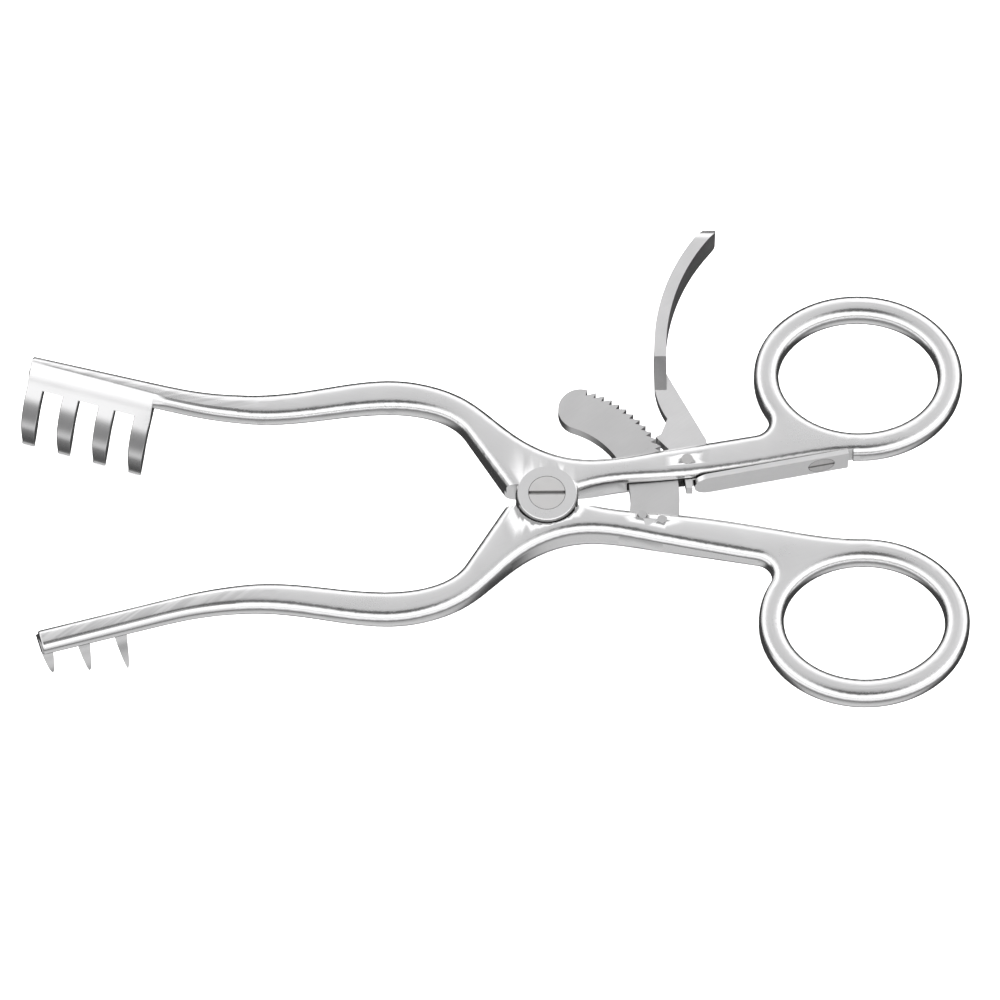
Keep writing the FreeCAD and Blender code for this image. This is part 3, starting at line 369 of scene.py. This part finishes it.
def under_plate(place):
    """A corner of the bar, pressed in where the plate rolls over it."""
    origin = plate_place(0, 0, 0)
    x, y = place.x - origin.x, place.y - origin.y
    along = x * math.cos(PLATE_TURN) - y * math.sin(PLATE_TURN)
    outward = x * math.sin(PLATE_TURN) + y * math.cos(PLATE_TURN)
    up = place.z - JAW_TOP - JAW_TOP_RISE * along
    over = -0.766 * outward + 0.643 * up + 0.04
    if over <= 0:
        return place
    press = over * (1 - smooth(along, PLATE_END - 0.4, PLATE_END + 1.4))
    outward, up = outward + 0.766 * press, up - 0.643 * press
    return plate_place(along, outward, up + JAW_TOP + JAW_TOP_RISE * along)


def on_cut(x):
    return abs(x - JAW_CUT * MM) < 0.002 * MM


def rim_loop(metal):
    """Corners round the cut, in order."""
    rim = [edge for edge in metal.edges
           if edge.is_boundary and all(on_cut(corner.co.x) for corner in edge.verts)]
    loop = [rim[0].verts[0], rim[0].verts[1]]
    left = set(rim[1:])
    while left:
        step = next((edge for edge in left if loop[-1] in edge.verts), None)
        if step is None:
            break
        left.remove(step)
        loop.append(step.other_vert(loop[-1]))
    if loop[-1] is loop[0]:
        loop.pop()
    return loop


def jaw_stations(start):
    """Distance along x of each ring of a jaw, and how far the ring is drawn in to round the end."""
    stations = [(JAW_CUT - number, 0.0) for number in range(1, 60) if JAW_CUT - number > start + 1.0]
    return stations + [(start + 0.7, 0.0), (start + 0.40, 0.0), (start + 0.16, 0.03),
                       (start + 0.04, 0.12), (start, 0.32), (start, 0.9)]


def arm_metal(node, name, body, side, start, rolled):
    """The forging's own metal with its bow set outwards, and a jaw swept on from a cut through it."""
    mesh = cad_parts[node].data.copy()
    mesh.name = name
    metal = bmesh.new()
    metal.from_mesh(mesh)
    everything = metal.verts[:] + metal.edges[:] + metal.faces[:]
    bmesh.ops.bisect_plane(metal, geom=everything, plane_co=(JAW_CUT * MM, 0, 0),
                           plane_no=(1, 0, 0), clear_inner=True)
    bmesh.ops.remove_doubles(metal, verts=metal.verts[:], dist=0.0002 * MM)
    loop = rim_loop(metal)
    outer, inner, top, underside = between(BOW, JAW_CUT)[:4]
    shares = [((corner.co.y * side / MM - inner) / (outer - inner),
               (corner.co.z / MM - underside) / (top - underside)) for corner in loop]
    for corner in metal.verts:
        corner.co += set_outwards(corner.co / MM, side) * MM

    rings = [loop]
    for x, inset in jaw_stations(start):
        slant = END_SLANT * smooth(x, -60.0, -80.0)
        ring = []
        for across, up in shares:
            place_x = x - slant * (1 - across)
            top_y, low_y, top_z, low_z = jaw_section(place_x)
            place = Vector((place_x, low_y + across * (top_y - low_y), low_z + up * (top_z - low_z)))
            middle = Vector((place_x, (top_y + low_y) / 2, (top_z + low_z) / 2))
            if rolled:
                place = under_plate(place)
            out = place - middle
            out.x = 0
            place -= out.normalized() * min(inset, out.length * 0.8)
            ring.append(metal.verts.new(Vector((place.x, place.y * side, place.z)) * MM))
        rings.append(ring)
    count = len(loop)
    for first, second in zip(rings, rings[1:]):
        for number in range(count):
            after = (number + 1) % count
            face = metal.faces.new((first[number], first[after], second[after], second[number]))
            face.smooth = True
    metal.faces.new(rings[-1])
    bmesh.ops.recalc_face_normals(metal, faces=metal.faces)
    metal.to_mesh(mesh)
    metal.free()

    # The forging keeps its own normals; a normal of zero has Blender work out that of the new jaw
    normals = [list(normal.vector) for normal in mesh.corner_normals]
    for face in mesh.polygons:
        if any(mesh.vertices[corner].co.x < (JAW_CUT + 0.01) * MM for corner in face.vertices):
            for corner in face.loop_indices:
                normals[corner] = (0.0, 0.0, 0.0)
    mesh.normals_split_custom_set(normals)
    stand_for(mesh, name, body, node)


def stand_for(mesh, name, body, node):
    """Show a mesh in place of a node."""
    piece = bpy.data.objects.new(name, mesh)
    bpy.context.scene.collection.objects.link(piece)
    mesh.materials.clear()
    mesh.materials.append(finishes[node])
    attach(piece, body)
    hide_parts(node)


def new_piece(name, corners, faces, material, body, side):
    """Piece of a jaw, drawn on the four-prong side."""
    mesh = bpy.data.meshes.new(name)
    mesh.from_pydata([Vector((place.x, place.y * side, place.z)) * MM for place in corners], [], faces)
    mesh.materials.append(material)
    shell = bmesh.new()
    shell.from_mesh(mesh)
    bmesh.ops.recalc_face_normals(shell, faces=shell.faces)
    shell.to_mesh(mesh)
    shell.free()
    mesh.shade_smooth()
    piece = bpy.data.objects.new(name, mesh)
    bpy.context.scene.collection.objects.link(piece)
    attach(piece, body)
    return piece


def soften(piece):
    """Round the sharp edges of a piece."""
    bevel = piece.modifiers.new("rounded edges", "BEVEL")
    bevel.width = CLAW_ROUNDING * MM
    bevel.segments = 3
    bevel.limit_method = "ANGLE"
    bevel.angle_limit = math.radians(38)
    bevel.harden_normals = True


# Depth share, how far inwards the front of a claw is as a share of its bow, and its back likewise
CLAW = [
    (0.000, 0.000, -0.140),
    (0.050, 0.210, -0.138),
    (0.100, 0.400, -0.110),
    (0.165, 0.580, 0.000),
    (0.250, 0.780, 0.190),
    (0.420, 0.960, 0.440),
    (0.575, 1.000, 0.527),
    (0.730, 0.910, 0.532),
    (0.860, 0.800, 0.560),
    (0.954, 0.710, 0.600),
    (1.000, 0.700, 0.625),
]
CLAW_BOW = 5.5
CLAW_DEPTH = 26.1
CLAW_ROOT = 4.3


def claws(name, prongs, depth, root, body, side):
    """Plate combed into claws; each claw gives its left and right edge at a depth."""
    rows = [0.0, 0.5, 1.0, 1.6, 2.3, 3.1, 3.9, root] + [
        root + (depth - root) * share for share in
        (0.05, 0.10, 0.16, 0.22, 0.28, 0.34, 0.40, 0.46, 0.52,
         0.58, 0.64, 0.70, 0.76, 0.82, 0.88, 0.93, 0.965, 1.0)]
    root_row = rows.index(root)
    corners = []
    for row in rows:
        front, back = between(CLAW, row / depth)
        for left, right in prongs:
            for along in (left(row), right(row)):
                rise = JAW_TOP_RISE * along * (1 - smooth(row, 0.0, 6.0))
                corners.append(plate_place(along, -CLAW_BOW * front, JAW_TOP + rise - row))
                sink = 0.9 * (1 - smooth(row, 0.0, 2.5))
                corners.append(plate_place(along, -CLAW_BOW * back, JAW_TOP + rise - row - sink))
    wide = 4 * len(prongs)

    def corner(row, column, back):
        return row * wide + column * 2 + back

    faces = []
    last = 2 * len(prongs) - 1
    for row in range(len(rows) - 1):
        for column in range(last):
            if column % 2 and row >= root_row:
                continue
            for back in (0, 1):
                faces.append((corner(row, column, back), corner(row, column + 1, back),
                              corner(row + 1, column + 1, back), corner(row + 1, column, back)))
        for column in range(last + 1):
            if column in (0, last) or row >= root_row:
                faces.append((corner(row, column, 0), corner(row, column, 1),
                              corner(row + 1, column, 1), corner(row + 1, column, 0)))
    for column in range(last):
        ends = [0] + ([root_row] if column % 2 else [len(rows) - 1])
        for row in ends:
            faces.append((corner(row, column, 0), corner(row, column, 1),
                          corner(row, column + 1, 1), corner(row, column + 1, 0)))
    soften(new_piece(name, corners, faces, finishes["four_prong_arm"], body, side))


def upper_claw(number, depth, root):
    """Left and right edge of a claw at a depth: it leans left and narrows below its root."""
    start = CLAW_PITCH * number

    def narrowing(row):
        return 0.275 * max(row - 8.0, 0) / (depth - 8.0)

    def lean(row):
        return 2.1 * max(row - root, 0) / (depth - root)

    def left(row):
        return start - lean(row) + narrowing(row)

    def right(row):
        return start + CLAW_WIDTH - lean(row) - narrowing(row)
    return left, right


def tooth(name, number, body, side):
    """Claw of its own, like a shark's tooth: its left side curved, its right side straight."""
    start = 2.35 + CLAW_PITCH * number
    depth = (22.0, 25.3, 26.1)[number]
    spread = (0.0, 0.0, 1.2)[number]
    rows = [2.3 + (depth - 2.3) * share / 26 for share in range(27)]
    corners, faces = [], []
    for row in rows:
        share = row / depth
        front, back = between(CLAW, share)
        left = start + 2.2 * share - 0.5 * math.sin(math.pi * share)
        right = start + CLAW_WIDTH - 0.2 * share
        near = max(share - 0.93, 0) / 0.07
        left += 0.30 * near * near
        right -= 0.30 * near * near
        out = spread * share * share + 0.9 * (1 - smooth(row, 3.0, 10.0))
        for along, inward in ((left, front), (right, front), (right, back), (left, back)):
            corners.append(plate_place(along, out - CLAW_BOW * inward, JAW_TOP - row))
    for row in range(len(rows) - 1):
        low, high = row * 4, (row + 1) * 4
        for number in range(4):
            after = (number + 1) % 4
            faces.append((low + number, low + after, high + after, high + number))
    faces.append((0, 1, 2, 3))
    faces.append(tuple((len(rows) - 1) * 4 + number for number in range(4)))
    soften(new_piece(name, corners, faces, finishes["three_prong_arm"], body, side))


arm_metal("four_prong_arm", "four_prong_arm_metal", "upper_arm", 1, JAW_END[0], True)
arm_metal("three_prong_arm", "three_prong_arm_metal", "lower_arm", -1, LOWER_JAW_END_X, False)
claws("upper_claws", [upper_claw(number, CLAW_DEPTH, CLAW_ROOT) for number in range(4)],
      CLAW_DEPTH, CLAW_ROOT, "upper_arm", 1)
for number in range(3):
    tooth(f"lower_tooth_{number + 1}", number, "lower_arm", -1)


# Floor, light and camera

def floor():
    mesh = bpy.data.meshes.new("floor")
    half = 3.0
    height = cad_box[0][2]
    corners = [(-half, -half, height), (half, -half, height), (half, half, height), (-half, half, height)]
    mesh.from_pydata(corners, [], [(0, 1, 2, 3)])
    plane = bpy.data.objects.new("floor", mesh)
    bpy.context.scene.collection.objects.link(plane)
    finish = Finish("white paper")
    grain = finish.noise(finish.place(), 0.02, 2.0, 0.5)
    colour = finish.mix(grain, (0.93, 0.93, 0.93, 1), (0.96, 0.96, 0.96, 1))
    values = {"Base Color": colour, "Roughness": 0.7, "Specular IOR Level": 0.2,
              "Emission Color": (1, 1, 1, 1), "Emission Strength": 0.35}
    surface = finish.node("ShaderNodeBsdfPrincipled", None, values).out("BSDF")
    finish.node("ShaderNodeOutputMaterial", None, {"Surface": surface})
    mesh.materials.append(finish.material)
    plane.visible_glossy = False


def looking(place, target, roll=0.0):
    """Rotation that looks from place to target."""
    view = (Vector(target) - Vector(place)).to_track_quat("-Z", "Y").to_matrix().to_4x4()
    return Matrix.Translation(place) @ view @ Matrix.Rotation(math.radians(roll), 4, "Z")


def softbox(name, place, target, width, height, power):
    light = bpy.data.lights.new(name, "AREA")
    light.shape = "RECTANGLE"
    light.size = width
    light.size_y = height
    light.energy = power
    lamp = bpy.data.objects.new(name, light)
    lamp.matrix_world = looking(place, target)
    lamp.visible_glossy = False
    bpy.context.scene.collection.objects.link(lamp)


class Studio(Finish):
    """The nodes of the studio's light, worked out from the direction that it comes from."""

    def __init__(self, name):
        self.world = bpy.data.worlds.new(name)
        self.world.use_nodes = True
        self.tree = self.world.node_tree
        self.tree.nodes.clear()

    def way(self):
        return self.node("ShaderNodeTexCoord").out("Generated")

    def towards(self, way, place):
        """1 straight towards a place and less to its sides, as the cosine of the angle."""
        aim = Vector(place).normalized()
        settings = {"operation": "DOT_PRODUCT"}
        return self.node("ShaderNodeVectorMath", settings, (way, tuple(aim))).out("Value")

    def light(self, tone):
        background = self.node("ShaderNodeBackground", None, {"Color": tone, "Strength": 1.0}).out("Background")
        self.node("ShaderNodeOutputWorld", None, {"Surface": background})
        bpy.context.scene.world = self.world


def surroundings():
    """White tent, bright low down all round, with the dark gap where the picture is taken from."""
    studio = Studio("light tent")
    way = studio.way()
    x, y, z = studio.parts(way)
    roof = 0.70 + 0.1 * x
    wall = z.ramp(0.86, 0.55) * z.ramp(0.02, 0.22)
    gap = studio.towards(way, (0, -0.438, 0.899)).ramp(0.90, 0.985)
    low = z.ramp(0.10, -0.05)
    front = y.ramp(-0.05, -0.30)
    above = (roof + 0.75 * wall) * (1 - 0.90 * gap)
    underside = 0.20 + 0.95 * z.ramp(-0.66, -0.28) + 0.55 * z.ramp(-0.78, -0.93)
    below = 0.05 + underside * front
    tone = above * (1 - low) + below * low
    colour = studio.mix(tone, (0, 0, 0, 1), (1, 1, 1.01, 1))
    studio.light(colour)


def camera():
    data = bpy.data.cameras.new("camera")
    distance = 1.6
    tilt = math.radians(64)
    target = Vector((-8.13, -1.35, 7.5)) * MM
    place = target + Vector((0, -math.cos(tilt), math.sin(tilt))) * distance
    data.sensor_width = 36
    data.lens = 36 * distance / 0.1730
    data.clip_start = 0.05
    data.clip_end = 20
    view = bpy.data.objects.new("camera", data)
    view.matrix_world = looking(place, target, -0.4)
    bpy.context.scene.collection.objects.link(view)
    bpy.context.scene.camera = view


floor()
surroundings()
softbox("paper light", (0.2, 0.1, 1.6), (0, 0, 0), 1.4, 1.4, 40)
camera()
bpy.context.scene.view_settings.view_transform = "Standard"
